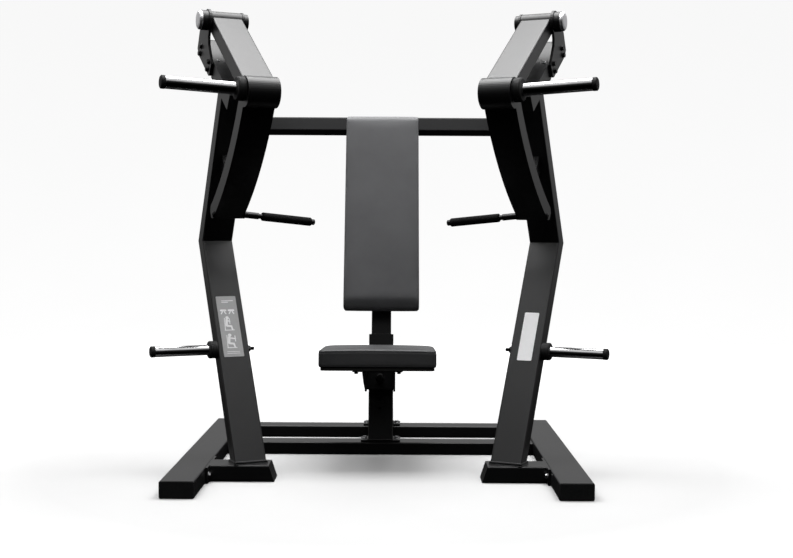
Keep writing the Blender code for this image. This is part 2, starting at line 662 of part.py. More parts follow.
def cushion(wide, tall, thick, place, corner=0.030, edge=0.014, crown=0.0):
    """A plain pad with rounded corners and softened edges; place maps (x, y, height) to the object."""
    rows = ((edge * 0.5, 0.0), (0.0, edge * 0.6), (0.0, thick - edge), (edge * 0.4, thick - edge * 0.35),
            (edge * 1.4, thick - crown * 0.3), (0.075, thick + crown))
    loops = []
    for inset, height in rows:
        section = rounded_rectangle(wide - 2 * inset, tall - 2 * inset, max(corner - inset * 0.5, 0.004), 4)
        loops.append([place(a, b, height) for a, b in section])
    return solid_between(loops)


def make_seat(pad, board, steel, chrome):
    wide, deep, thick = SEAT_SIZE
    slide = on_post(0, 0.0, 0.33)
    add("seat_pad", cushion(wide, deep, thick, lambda a, b, h: seat_point(a, b, h), edge=0.020, crown=0.005),
        pad, origin=slide)
    section = rounded_rectangle(wide - 0.016, deep - 0.016, 0.024, 4)
    loops = [[seat_point(a, b, h) for a, b in section] for h in (-0.0123, -GAP)]
    add("seat_board", solid_between(loops), board, origin=slide)
    start, out = make_carriage(steel, slide)
    make_lock(steel, chrome, board, start, out)


def make_carriage(steel, slide):
    """The channel that runs on the lower post, with two gussets and a plate under the seat board."""
    face, plate = 0.0008, 0.0100
    inner, cheek = LOWER_POST / 2 + 0.0045, 0.008
    low, high = 0.262, 0.392
    carriage = add("seat_carriage", post_box(2 * inner + 0.002, face, face + plate, low, high, 0.001, CARRIAGE_X),
                   steel, origin=slide)
    plate_top, plate_low = -0.0126, -0.0190
    outline = [on_post(0, -0.060, 0.262), on_post(0, -0.010, 0.2547), on_post(0, 0.017, 0.2632)]
    outline += [on_post(0, 0.184, 0.2696), on_post(0, 0.300, 0.2786), seat_point(0, 0.128, plate_low - 0.004)]
    outline += [seat_point(0, 0.128, plate_low + 0.002), seat_point(0, -0.150, plate_low + 0.002)]
    outline += [on_post(0, -0.060, high)]
    for side in (-1, 1):
        loops = [[Vector((CARRIAGE_X + side * x, *p.yz)) for p in outline] for x in (inner, inner + cheek)]
        join(carriage, solid_between(loops))
    corners = ((-0.095, 0.150), (0.095, 0.150), (0.095, -0.150), (-0.095, -0.150))
    loops = [[seat_point(a, b, h) for a, b in corners] for h in (plate_low, plate_top)]
    join(carriage, solid_between(loops))
    out = on_post(0, 1, 0) - on_post(0, 0, 0)
    at = on_post(CARRIAGE_X, face + plate, PIN_UP)
    cut(carriage, turned(rod_profile((-0.015, 0.010, PIN_RADIUS + 0.0006)), at, out, segments=20))
    return at + out * GAP, out


def make_lock(steel, chrome, plastic, start, out):
    """The spring-loaded pull pin on the carriage's front plate, with its barrel and knob."""
    bore = PIN_RADIUS + RUNNING_GAP
    barrel = [(0, 0.0135), (0.026, 0.0135), (0.026, bore), (0.022, bore), (0.022, 0.0105), (0, 0.0105)]
    add("seat_pin_barrel", turned(barrel, start, out, ring=True, segments=40), steel, origin=start)
    profile = rod_profile((-0.0100, 0.0040, PIN_RADIUS), (0.0040, 0.0080, 0.0100), (0.0080, 0.0450, PIN_RADIUS))
    add("seat_pin", turned(profile, start, out, segments=40), chrome, origin=start)
    hole = PIN_RADIUS + GAP
    profile = [(0.0453, 0), (0.0453, hole), (0.0275, hole), (0.0275, 0.011), (0.032, 0.018), (0.047, 0.018),
               (0.051, 0.012), (0.052, 0)]
    add("seat_pin_knob", turned(profile, start, out), plastic, origin=start)


def make_backrest(pad, board):
    wide, tall, thick = BACK_SIZE
    middle = BACK_LOW_UP + tall / 2

    def place(a, b, height):
        taper = 1.0 - 0.03 * b / tall
        return on_post(a * taper, BACK_OUT + height, middle + b)

    add("backrest_pad", cushion(wide, tall, thick, place, corner=0.034, edge=0.022, crown=0.004), pad)
    section = rounded_rectangle(wide - 0.020, tall - 0.020, 0.028, 4)
    loops = [[place(a, b, h) for a, b in section] for h in (-0.0143, -GAP)]
    add("backrest_board", solid_between(loops), board)


def main():
    for old in list(bpy.data.objects):
        bpy.data.objects.remove(old, do_unlink=True)
    steel = finish("black_powder_coat", (0.022, 0.022, 0.024), 0.42)
    chrome = finish("chrome", (0.78, 0.78, 0.80), 0.15, 1.0)
    rubber = finish("black_rubber", (0.012, 0.012, 0.013), 0.70)
    vinyl = finish("grey_vinyl", (0.060, 0.060, 0.065), 0.50)
    board = finish("black_board", (0.020, 0.020, 0.020), 0.75)
    bearing = finish("bearing_steel", (0.55, 0.55, 0.57), 0.30, 1.0)
    make_base(steel, rubber)
    for name, side in SIDES:
        make_side(name, side, steel, chrome, rubber, bearing)
    make_posts(steel)
    make_crossbar(steel)
    make_seat(vinyl, board, steel, chrome)
    make_backrest(vinyl, board)


main()
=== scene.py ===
"""Looks of the plate-loaded chest press: finishes, sewn pads, fasteners, welds, placards, lights and camera.

Lengths are in metres, in the frame of the CAD model: the machine stands on z = 0, its front is towards -Y
and its plane of symmetry is x = 0. Each side of the machine lies in a vertical plane that is turned about Z:
in that plane u runs forwards, z runs up, and w runs outwards.
"""
import json
import math

import bmesh
import bpy
import numpy as np
from mathutils import Matrix, Vector, noise
from mathutils.bvhtree import BVHTree
from mathutils.kdtree import KDTree

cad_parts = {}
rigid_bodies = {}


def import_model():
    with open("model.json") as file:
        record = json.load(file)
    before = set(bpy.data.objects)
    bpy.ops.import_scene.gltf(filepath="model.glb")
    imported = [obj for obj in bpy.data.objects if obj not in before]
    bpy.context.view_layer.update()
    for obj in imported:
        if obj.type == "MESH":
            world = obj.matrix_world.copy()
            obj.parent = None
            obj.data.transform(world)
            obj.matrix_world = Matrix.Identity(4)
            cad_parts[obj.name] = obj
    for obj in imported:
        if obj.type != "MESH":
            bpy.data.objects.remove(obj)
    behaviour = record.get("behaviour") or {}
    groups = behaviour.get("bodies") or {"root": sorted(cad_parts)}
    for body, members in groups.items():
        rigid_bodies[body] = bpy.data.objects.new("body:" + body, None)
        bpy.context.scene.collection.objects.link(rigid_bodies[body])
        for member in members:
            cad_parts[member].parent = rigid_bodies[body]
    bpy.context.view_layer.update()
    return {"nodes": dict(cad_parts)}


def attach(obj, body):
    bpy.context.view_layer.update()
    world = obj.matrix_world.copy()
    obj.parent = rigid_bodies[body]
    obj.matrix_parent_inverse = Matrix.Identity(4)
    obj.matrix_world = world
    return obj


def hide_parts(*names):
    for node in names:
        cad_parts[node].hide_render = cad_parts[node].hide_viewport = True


# The CAD model's layout, repeated from the part
FRONT_Y = -0.705
PLANE_TURN = math.radians(24.5)
PLANE_X = 0.460
PLANE_Y = FRONT_Y + 0.319
SLOPE = math.radians(35.0)
HEAD_S = 1.071               # middle line of the head tube, square to the slope
BEAM_S = 1.200
HOUSING = (0.100, 1.392)      # (u, z) of the round housing on the curved arm
HOUSING_RADIUS = 0.055
STORE_AXIS = (-0.244, 0.456)
LOWER_LEAN = math.radians(28.0)
TUBE_WIDE = 0.120
TUBE_THIN = 0.060
POST_LEAN = math.radians(12.0)
POST_Y = FRONT_Y + 0.862
SEAT_CENTRE = Vector((-0.0075, FRONT_Y + 0.665, 0.385))
SEAT_TILT = math.radians(3.0)
SEAT_SIZE = (0.445, 0.395, 0.070)
BACK_OUT = 0.029
BACK_SIZE = (0.306, 0.813, 0.075)
BACK_LOW_UP = 0.580

# Fasteners and placards
BRACKET_BOLTS = ((-1.254, 1.0885), (-1.254, 1.0575), (-1.130, 1.0885), (-1.130, 1.0575))   # (t, s)
FOOT_BOLTS = (0.271, 0.447)          # behind the front of the rails
POST_BOLTS = (0.905, 1.325)          # behind the front of the rails
SPINDLE = (-0.275, 0.965)            # (u, z) of the handle
SPINDLE_DROOP = math.radians(5.5)
PLACARD_GAP, PLACARD_THICK = 0.0001, 0.0009
PRINT_LOW, PRINT_HIGH = 0.00085, 0.00105
LEFT_PLACARD = (0.0030, 0.5455)      # its middle: across the upright, and up along it
RIGHT_PLACARD = (0.0020, 0.5100)
CRISP = 5.0                          # degrees: every edge of a flat plate stays sharp
BEAD = 60.0                          # degrees: the ripples of a weld or a thread stay smooth

# Pads
SHY = 0.0010                 # how far a pad's foam stands in from its cover's outline
PAD_VOXEL = 0.0050
TOP_CAP = 0.004              # how far a pad's top may swell
SIDE_CAP = 0.0015            # how far a pad's sides may swell
CLOTH_FRAMES = 20
SEAM_STEP = 0.0015           # between the points of a seam

# Studio
FLOOR_TONE = 0.72
ROOM_LIGHT = 0.42            # how bright the room behind the machine is in reflections
CEILING_LIGHT = 0.75
CAMERA_AT = (0.0707, -4.9704, 0.9262)
CAMERA_LENS = 57.82          # millimetres, on a 36 mm wide sensor
CAMERA_TURN = (-0.10, 2.40, 0.30)    # degrees: to the right, down, and rolled

SIDES = (("left", -1), ("right", 1))
X, Y, Z = Vector((1, 0, 0)), Vector((0, 1, 0)), Vector((0, 0, 1))


# ------------------------------------------------------------------ places
def turned_to_side(side, vector):
    return Matrix.Rotation(-side * PLANE_TURN, 3, "Z") @ vector


def in_plane(side, u, z, w=0.0):
    """A point of one side's plane, in the frame of the object."""
    return turned_to_side(side, Vector((side * w, -u, z))) + Vector((side * PLANE_X, PLANE_Y, 0))


def along_plane(side, u, z, w=0.0):
    """A direction in one side's plane."""
    return turned_to_side(side, Vector((side * w, -u, z))).normalized()


def slope_uz(t, s):
    """(u, z) of a point given along and square to the sloping tubes."""
    return t * math.cos(SLOPE) + s * math.sin(SLOPE), -t * math.sin(SLOPE) + s * math.cos(SLOPE)


def upright_front(z):
    """u of the lower upright's front face at height z."""
    return -math.tan(LOWER_LEAN) * (z - TUBE_THIN)


def on_post(x, out, up):
    """A point forwards of the lower post's front face and up along the leaning post."""
    lean, rise = math.sin(POST_LEAN), math.cos(POST_LEAN)
    return Vector((x, POST_Y - out * rise + up * lean, out * lean + up * rise))


def seat_point(x, forward, up):
    tilt_y, tilt_z = math.cos(SEAT_TILT), math.sin(SEAT_TILT)
    return SEAT_CENTRE + Vector((x, -forward * tilt_y + up * tilt_z, forward * tilt_z + up * tilt_y))


def back_point(a, b, height):
    """A point of the backrest: a across, b up from its middle, height off the back of the pad."""
    wide = a * (1.0 - 0.03 * b / BACK_SIZE[1])
    return on_post(wide, BACK_OUT + height, BACK_LOW_UP + BACK_SIZE[1] / 2 + b)


# ------------------------------------------------------------------ finishes
class Finish:
    """A procedural material under construction: a Principled shader and the nodes that drive it."""

    def __init__(self, name, roughness, metallic=0.0, specular=0.5):
        self.material = bpy.data.materials.new(name)
        self.material.use_nodes = True
        self.tree = self.material.node_tree
        self.shader = self.tree.nodes["Principled BSDF"]
        self.shader.inputs["Roughness"].default_value = roughness
        self.shader.inputs["Metallic"].default_value = metallic
        self.shader.inputs["Specular IOR Level"].default_value = specular
        self.place = self.tree.nodes.new("ShaderNodeTexCoord")

    def add(self, kind, **settings):
        made = self.tree.nodes.new(kind)
        for name, value in settings.items():
            setattr(made, name, value)
        return made

    def link(self, start, end):
        self.tree.links.new(start, end)

    def mapped(self, scale, turn=0.0):
        """Object coordinates turned about Z and stretched."""
        turner = self.add("ShaderNodeMapping")
        turner.inputs["Rotation"].default_value = (0.0, 0.0, turn)
        self.link(self.place.outputs["Object"], turner.inputs["Vector"])
        stretch = self.add("ShaderNodeMapping")
        stretch.inputs["Scale"].default_value = scale
        self.link(turner.outputs["Vector"], stretch.inputs["Vector"])
        return stretch.outputs["Vector"]

    def noise(self, scale, detail=3.0, rough=0.55, vector=None):
        made = self.add("ShaderNodeTexNoise")
        made.inputs["Scale"].default_value = scale
        made.inputs["Detail"].default_value = detail
        made.inputs["Roughness"].default_value = rough
        self.link(vector or self.place.outputs["Object"], made.inputs["Vector"])
        return made.outputs["Fac"]

    def cells(self, scale, feature="F1"):
        made = self.add("ShaderNodeTexVoronoi", feature=feature)
        made.inputs["Scale"].default_value = scale
        self.link(self.place.outputs["Object"], made.inputs["Vector"])
        return made.outputs["Distance"]

    def ranged(self, value, low, high, start=0.3, end=0.7):
        """The value carried from start..end to low..high."""
        made = self.add("ShaderNodeMapRange")
        made.inputs["From Min"].default_value = start
        made.inputs["From Max"].default_value = end
        made.inputs["To Min"].default_value = low
        made.inputs["To Max"].default_value = high
        self.link(value, made.inputs["Value"])
        return made.outputs["Result"]

    def colour(self, factor, *stops):
        """Base colour from a ramp of (position, grey or colour) stops."""
        ramp = self.add("ShaderNodeValToRGB")
        elements = ramp.color_ramp.elements
        while len(elements) < len(stops):
            elements.new(0.5)
        for element, (position, tone) in zip(elements, stops):
            element.position = position
            element.color = (*tone, 1.0)
        self.link(factor, ramp.inputs["Fac"])
        self.link(ramp.outputs["Color"], self.shader.inputs["Base Color"])

    def roughness(self, factor, low, high):
        self.link(self.ranged(factor, low, high), self.shader.inputs["Roughness"])

    def bump(self, *layers):
        """Bump from (height, strength, distance) layers, one on top of another."""
        normal = None
        for height, strength, distance in layers:
            made = self.add("ShaderNodeBump")
            made.inputs["Strength"].default_value = strength
            made.inputs["Distance"].default_value = distance
            self.link(height, made.inputs["Height"])
            if normal:
                self.link(normal, made.inputs["Normal"])
            normal = made.outputs["Normal"]
        self.link(normal, self.shader.inputs["Normal"])


def powder_coat():
    made = Finish("satin_powder_coat", 0.36, specular=0.46)
    cloud = made.noise(7.0, 5.0, 0.6)
    made.colour(cloud, (0.30, (0.0082, 0.0082, 0.0088)), (0.70, (0.0108, 0.0108, 0.0115)))
    made.roughness(made.noise(240.0, 3.0, 0.6), 0.345, 0.375)
    made.bump((made.noise(420.0, 2.0, 0.5), 0.22, 0.00008), (made.cells(1500.0), 0.12, 0.00005))
    return made.material


def chrome(name, turn):
    """Bright plating with fine rings where plates have slid along it."""
    made = Finish(name, 0.10, metallic=1.0)
    rings = made.noise(1.0, 4.0, 0.7, made.mapped((900.0, 18.0, 18.0), turn))
    drag = made.noise(1.0, 3.0, 0.6, made.mapped((12.0, 700.0, 700.0), turn))
    made.colour(made.noise(16.0), (0.35, (0.74, 0.74, 0.75)), (0.65, (0.86, 0.86, 0.87)))
    made.roughness(rings, 0.07, 0.17)
    made.bump((rings, 0.04, 0.00002), (drag, 0.04, 0.00002))
    return made.material


def rubber():
    made = Finish("moulded_rubber", 0.72, specular=0.35)
    made.colour(made.noise(24.0, 4.0), (0.3, (0.0070, 0.0070, 0.0075)), (0.7, (0.0125, 0.0125, 0.0130)))
    made.roughness(made.noise(130.0, 3.0), 0.62, 0.82)
    made.bump((made.noise(900.0, 2.0), 0.40, 0.00015))
    return made.material


def grip_foam():
    """Dense foam rubber with fine open pores, with painted shade darkening each pore's pit."""
    made = Finish("grip_foam", 0.82, specular=0.10)
    pore_pits_and_painted_shade = made.cells(1100.0)
    # painted shade: the colour gets darker towards the middle of each pore, where the bump below sinks it
    made.colour(pore_pits_and_painted_shade, (0.15, (0.0020, 0.0020, 0.0022)), (0.55, (0.0065, 0.0065, 0.0068)))
    made.roughness(made.noise(90.0, 3.0), 0.70, 0.88)
    made.bump((pore_pits_and_painted_shade, 0.60, 0.00030), (made.noise(60.0, 3.0), 0.25, 0.00060))
    return made.material


def vinyl(name, low, high):
    """Grey upholstery vinyl with a pebbled leather grain."""
    made = Finish(name, 0.47)
    tone = made.noise(5.0, 5.0, 0.6)
    made.colour(tone, (0.30, (low, low * 1.01, low * 1.05)), (0.70, (high, high * 1.01, high * 1.05)))
    made.roughness(made.noise(60.0, 4.0), 0.40, 0.54)
    pebble = made.ranged(made.cells(620.0), 0.0, 1.0, 0.0, 0.75)
    crease = made.ranged(made.cells(210.0, "DISTANCE_TO_EDGE"), 0.0, 1.0, 0.0, 0.12)
    made.bump((pebble, 0.45, -0.00035), (crease, 0.25, 0.00020), (made.noise(26.0, 4.0), 0.30, 0.0008))
    return made.material


def thread():
    made = Finish("waxed_thread", 0.60)
    twist = made.noise(1800.0, 2.0)
    made.colour(twist, (0.3, (0.030, 0.030, 0.033)), (0.7, (0.060, 0.060, 0.065)))
    made.bump((twist, 0.40, 0.00010))
    return made.material


def board():
    """Black-faced plywood, with a faint grain along its length."""
    made = Finish("black_board", 0.62)
    grain = made.noise(1.0, 6.0, 0.7, made.mapped((260.0, 9.0, 9.0)))
    made.colour(grain, (0.30, (0.0070, 0.0068, 0.0066)), (0.70, (0.0170, 0.0160, 0.0150)))
    made.roughness(grain, 0.54, 0.72)
    made.bump((grain, 0.30, 0.00025))
    return made.material


def metal(name, dark, light, rough, grain=300.0):
    """Plated or ground steel with fine turning marks."""
    made = Finish(name, rough, metallic=1.0)
    marks = made.noise(grain, 4.0, 0.65)
    made.colour(marks, (0.30, (dark, dark, dark * 1.02)), (0.70, (light, light, light * 1.02)))
    made.roughness(made.noise(80.0, 3.0), rough - 0.07, rough + 0.07)
    made.bump((marks, 0.15, 0.00005))
    return made.material


def film(name, low, high, rough):
    """Printed adhesive film."""
    made = Finish(name, rough)
    fleck = made.noise(70.0, 5.0, 0.7)
    made.colour(fleck, (0.3, (low, low, low * 1.01)), (0.7, (high, high, high * 1.01)))
    made.roughness(made.noise(140.0, 3.0), rough - 0.06, rough + 0.06)
    made.bump((made.noise(500.0, 2.0), 0.12, 0.00005))
    return made.material


# ------------------------------------------------------------------ solids
def frame_of(axis):
    """Two directions square to an axis."""
    axis = axis.normalized()
    right = axis.orthogonal().normalized()
    return axis, right, axis.cross(right)


def spin(mesh, rows, start, axis, segments=36, turn=0.0):
    """Adds a closed solid of revolution from (along, radius) rows.

    A row's numbers may be functions of the angle, which gives hexagons and fluted shapes.
    """
    axis, right, up = frame_of(axis)
    rings = []
    for along, radius in rows:
        ring = []
        for number in range(segments):
            angle = 2 * math.pi * number / segments
            a = along(angle) if callable(along) else along
            r = radius(angle) if callable(radius) else radius
            spoke = right * math.cos(angle + turn) + up * math.sin(angle + turn)
            ring.append(mesh.verts.new(start + axis * a + spoke * r))
        rings.append(ring)
    for first, second in zip(rings, rings[1:]):
        for here in range(segments):
            after = (here + 1) % segments
            mesh.faces.new((first[here], first[after], second[after], second[here]))
    for ring, along in ((rings[0], rows[0][0]), (rings[-1], rows[-1][0])):
        height = along(0.0) if callable(along) else along
        middle = mesh.verts.new(start + axis * height)
        for here in range(segments):
            mesh.faces.new((ring[here], ring[(here + 1) % segments], middle))


def hexagon(apothem):
    """The radius of a hexagon at an angle."""
    return lambda angle: apothem / math.cos((angle % (math.pi / 3)) - math.pi / 6)


def add_hex(mesh, at, out, across, high, turn=0.0):
    """A hexagon head or nut, its corners cut off by a cone as on a real one."""
    apothem = across / 2
    radius = hexagon(apothem)
    crown = 0.93 * apothem
    rows = [(0.0, radius),
            (lambda angle: high - 0.55 * (radius(angle) - crown), radius),
            (high, crown),
            (high - 0.0004, crown * 0.72)]
    spin(mesh, rows, at, out, 36, turn)


def add_washer(mesh, at, out, radius, thick=0.002):
    rows = [(0.0, radius), (thick * 0.7, radius), (thick, radius - 0.0006), (thick, radius * 0.5)]
    spin(mesh, rows, at, out, 32)


def add_thread(mesh, at, out, radius, length):
    """The end of a screw thread that stands out of its nut."""
    rows = [(0.0, radius)]
    pitch = 0.0016
    along = 0.0
    while along + pitch < length - 0.001:
        rows += [(along + pitch * 0.5, radius - 0.0007), (along + pitch, radius)]
        along += pitch
    rows += [(length, radius - 0.0012)]
    spin(mesh, rows, at, out, 24)


def add_bolt(mesh, at, out, across=0.018, high=0.0075, washer=0.0125, thread_end=0.0, turn=0.0):
    """A washer with a hexagon on it and, where it is a nut, the end of its bolt."""
    thick = 0.002
    add_washer(mesh, at, out, washer, thick)
    add_hex(mesh, at + out * thick, out, across, high, turn)
    if thread_end:
        add_thread(mesh, at + out * (thick + high - 0.001), out, across * 0.30, thread_end)


def add_button(mesh, at, out, radius, high):
    """A low domed head with a six-sided socket."""
    socket = hexagon(radius * 0.36)
    rows = [(0.0, radius), (high * 0.35, radius), (high * 0.75, radius * 0.82), (high, radius * 0.52),
            (high, socket), (high * 0.35, socket)]
    spin(mesh, rows, at, out, 36)


def resampled(points, step, closed):
    """Evenly spaced points along a line."""
    line = list(points) + ([points[0]] if closed else [])
    lengths = [(b - a).length for a, b in zip(line, line[1:])]
    total = sum(lengths)
    count = max(4, round(total / step))
    found = []
    for number in range(count if closed else count + 1):
        left = total * number / count
        for a, b, length in zip(line, line[1:], lengths):
            if left <= length or b is line[-1]:
                break
            left -= length
        found.append(a.lerp(b, min(left / length, 1.0) if length else 0.0))
    return found


def sweep(mesh, points, radius, closed=False, sides=8):
    """A tube along points; radius may be a function of the point's number."""
    count = len(points)
    rings = []
    side = None
    for number, point in enumerate(points):
        before = points[number - 1] if number or closed else point
        after = points[(number + 1) % count] if number + 1 < count or closed else point
        run = (after - before).normalized()
        if side is None:
            side = run.orthogonal()
        side = (side - run * side.dot(run)).normalized()
        across = run.cross(side)
        r = radius(number) if callable(radius) else radius
        angles = (2 * math.pi * n / sides for n in range(sides))
        rings.append([mesh.verts.new(point + side * (math.cos(a) * r) + across * (math.sin(a) * r))
                      for a in angles])
    pairs = list(zip(rings, rings[1:])) + ([(rings[-1], rings[0])] if closed else [])
    for first, second in pairs:
        for here in range(sides):
            after = (here + 1) % sides
            mesh.faces.new((first[here], first[after], second[after], second[here]))
    if not closed:
        mesh.faces.new(rings[0])
        mesh.faces.new(rings[-1])


def add_weld(mesh, points, radius=0.0028, closed=False):
    """A bead with the overlapping ripples of a welded seam."""
    step = 0.0013
    line = resampled(points, step, closed)

    def ripple(number):
        wave = 0.5 + 0.5 * math.sin(2 * math.pi * number * step / 0.0052)
        drift = noise.noise(line[number] * 60.0)
        return radius * (0.84 + 0.16 * wave + 0.12 * drift)

    sweep(mesh, line, ripple, closed, sides=7)


def rounded_rectangle(wide, deep, radius, steps=4):
    """Points round a rectangle centred on the origin, with arcs at its corners."""
    points = []
    for number, (side_x, side_y) in enumerate(((1, 1), (-1, 1), (-1, -1), (1, -1))):
        centre = Vector((side_x * (wide / 2 - radius), side_y * (deep / 2 - radius)))
        for step in range(steps + 1):
            angle = math.pi / 2 * (number + step / steps)
            points.append(centre + radius * Vector((math.cos(angle), math.sin(angle))))
    return points


def add_loops(mesh, loops):
    """A closed solid through a row of loops."""
    rings = [[mesh.verts.new(point) for point in loop] for loop in loops]
    for first, second in zip(rings, rings[1:]):
        for here in range(len(first)):
            after = (here + 1) % len(first)
            mesh.faces.new((first[here], first[after], second[after], second[here]))
    mesh.faces.new(rings[0])
    mesh.faces.new(rings[-1])


# ------------------------------------------------------------------ pieces
def link_mesh(name, mesh, material, sharp=38.0):
    bmesh.ops.recalc_face_normals(mesh, faces=mesh.faces)
    data = bpy.data.meshes.new(name)
    mesh.to_mesh(data)
    mesh.free()
    data.materials.append(material)
    data.shade_smooth()
    data.set_sharp_from_angle(angle=math.radians(sharp))
    made = bpy.data.objects.new(name, data)
    bpy.context.scene.collection.objects.link(made)
    return made


def piece(name, mesh, material, body, sharp=38.0):
    made = link_mesh(name, mesh, material, sharp)
    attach(made, body)
    return made


# ------------------------------------------------------------------ finishes on the CAD nodes
def dress_nodes(frame, finishes):
    """Gives every CAD node its finish, and softens the edges of the steel."""
    endings = (("_loading_horn", "chrome"), ("_storage_horn", "chrome"), ("_pivot_axle", "axle"),
               ("_handle_grip", "foam"), ("_handle_spindle", "satin_steel"), ("_collar", "rubber"),
               ("_cap", "rubber"), ("_bumper", "rubber"), ("_stop_pad", "rubber"),
               ("_bearing_outer", "bearing"), ("_bearing_inner", "bearing"), ("_board", "board"),
               ("_pad", "vinyl"), ("_knob", "rubber"), ("_barrel", "rubber"), ("seat_pin", "polished"))
    for name, node in frame["nodes"].items():
        found = next((finish for ending, finish in endings if name.endswith(ending)), "steel")
        if found == "chrome":
            found = f"{name.split('_')[0]}_chrome"
        node.data.materials.clear()
        node.data.materials.append(finishes[found])
        if found in ("steel", "board"):
            soften = node.modifiers.new("soft_edges", "BEVEL")
            soften.width = 0.0012
            soften.segments = 2
            soften.limit_method = "ANGLE"
            soften.angle_limit = math.radians(50.0)
            soften.harden_normals = True


# ------------------------------------------------------------------ fasteners
def bracket_bolts(name, side, dark):
    """Four bolts through each pair of pivot brackets: heads outside, nuts inside."""
    heads, nuts = bmesh.new(), bmesh.new()
    out = along_plane(side, 0, 0, 1)
    for number, (t, s) in enumerate(BRACKET_BOLTS):
        u, z = slope_uz(t, s)
        add_bolt(heads, in_plane(side, u, z, 0.0705), out, 0.017, 0.0070, 0.0120, 0.0, 0.35 * number)
        add_bolt(nuts, in_plane(side, u, z, -0.0685), -out, 0.017, 0.0075, 0.0120, 0.007, 0.2 + 0.5 * number)
    piece(f"{name}_bracket_bolts", heads, dark, "frame")
    piece(f"{name}_bracket_nuts", nuts, dark, "frame")


def foot_bolts(name, side, plated):
    """The bolts that hold the foot's flange to the inner face of the rail."""
    mesh = bmesh.new()
    for number, along in enumerate(FOOT_BOLTS):
        at = Vector((side * 0.6083, FRONT_Y + along, 0.030))
        add_bolt(mesh, at, -X * side, 0.016, 0.0065, 0.0110, 0.0, 0.3 + 0.4 * number)
    piece(f"{name}_foot_bolts", mesh, plated, "frame")


def horn_nut(name, side, dark):
    """The nut and bolt end inside the upright that hold the storage horn."""
    mesh = bmesh.new()
    at = in_plane(side, *STORE_AXIS, -TUBE_WIDE / 2 - 0.0002)
    add_bolt(mesh, at, -along_plane(side, 0, 0, 1), 0.022, 0.0110, 0.0150, 0.016, 0.25)
    piece(f"{name}_storage_horn_nut", mesh, dark, "frame")


def handle_nut(name, side, dark):
    """The domed cap over the end of the handle's spindle, outside the arm."""
    mesh = bmesh.new()
    at = in_plane(side, SPINDLE[0], SPINDLE[1] + 0.0005, 0.0592)
    add_button(mesh, at, along_plane(side, 0, 0, 1), 0.0135, 0.0060)
    piece(f"{name}_handle_cap_screw", mesh, dark, f"{name}_lever")


def post_bolts(plated):
    """The bolts through the post's two foot plates."""
    mesh = bmesh.new()
    for number, along in enumerate(POST_BOLTS):
        for side in (-1, 1):
            at = Vector((side * 0.0645, FRONT_Y + along, 0.0590))
            add_bolt(mesh, at, Z, 0.015, 0.0065, 0.0100, 0.0, 0.2 + number + side * 0.3)
    piece("post_base_bolts", mesh, plated, "frame")


def seat_bolts(dark):
    """The bolts that go up through the carriage's plate into the seat board."""
    mesh = bmesh.new()
    for x in (-0.081, 0.081):
        for forward in (-0.118, 0.128):
            at = seat_point(x, forward, -0.0192)
            down = seat_point(x, forward, -1.0192) - at
            add_bolt(mesh, at, down, 0.013, 0.0060, 0.0095, 0.0, x + forward)
    piece("seat_board_bolts", mesh, dark, "seat")


# ------------------------------------------------------------------ welds
def upright_loop(side, z, grow=0.0):
    """The outline of the lower upright where a level plane cuts it."""
    deep = TUBE_THIN / math.cos(LOWER_LEAN)
    middle = upright_front(z) - deep / 2
    section = rounded_rectangle(TUBE_WIDE + grow, deep + grow, 0.006, 2)
    return [in_plane(side, middle + b, z, a) for a, b in section]


def side_welds(name, side, steel):
    mesh = bmesh.new()
    add_weld(mesh, upright_loop(side, 0.0686), 0.0024, True)
    foot_u = upright_front(0.0678) - TUBE_THIN / math.cos(LOWER_LEAN) / 2
    plate = rounded_rectangle(0.127, 0.084, 0.008, 3)
    add_weld(mesh, [in_plane(side, foot_u + b, 0.0606, a) for a, b in plate], 0.0016, True)
    for w in (-0.0600, 0.0600):
        line = []
        for t in (-1.100, -1.045, -0.990):
            u, z = slope_uz(t, HEAD_S - TUBE_THIN / 2)
            line.append(in_plane(side, u, z, w))
        add_weld(mesh, line, 0.0020)
    piece(f"{name}_side_welds", mesh, steel, "frame", BEAD)


def head_screws(name, side, dark):
    """The two button-head screws on top of the head tube."""
    mesh = bmesh.new()
    up = along_plane(side, math.sin(SLOPE), math.cos(SLOPE))
    for w in (-0.040, 0.040):
        u, z = slope_uz(-1.118, HEAD_S + TUBE_THIN / 2 + 0.0001)
        add_button(mesh, in_plane(side, u, z, w), up, 0.0065, 0.0034)
    piece(f"{name}_head_screws", mesh, dark, "frame")


def lever_welds(name, side, steel):
    """The beads where the beam meets the round housing and where the handle meets the arm."""
    mesh = bmesh.new()
    beam_half = TUBE_THIN / 2
    centre_t = HOUSING[0] * math.cos(SLOPE) - HOUSING[1] * math.sin(SLOPE)
    centre_s = HOUSING[0] * math.sin(SLOPE) + HOUSING[1] * math.cos(SLOPE)
    for edge in (beam_half, -beam_half):
        drop = BEAM_S + edge - centre_s
        reach = math.sqrt(max(HOUSING_RADIUS ** 2 - drop ** 2, 0.0))
        u, z = slope_uz(centre_t - reach - 0.0012, BEAM_S + edge + (0.0006 if edge > 0 else -0.0006))
        add_weld(mesh, [in_plane(side, u, z, w) for w in (-0.056, 0.0, 0.056)], 0.0026)
    collar = []
    axis = along_plane(side, 0, -math.sin(SPINDLE_DROOP), -math.cos(SPINDLE_DROOP))
    at = in_plane(side, *SPINDLE, -0.0598)
    _, right, up = frame_of(axis)
    for number in range(24):
        angle = 2 * math.pi * number / 24
        collar.append(at + right * (0.0137 * math.cos(angle)) + up * (0.0137 * math.sin(angle)))
    add_weld(mesh, collar, 0.0022, True)
    piece(f"{name}_lever_welds", mesh, steel, f"{name}_lever", BEAD)


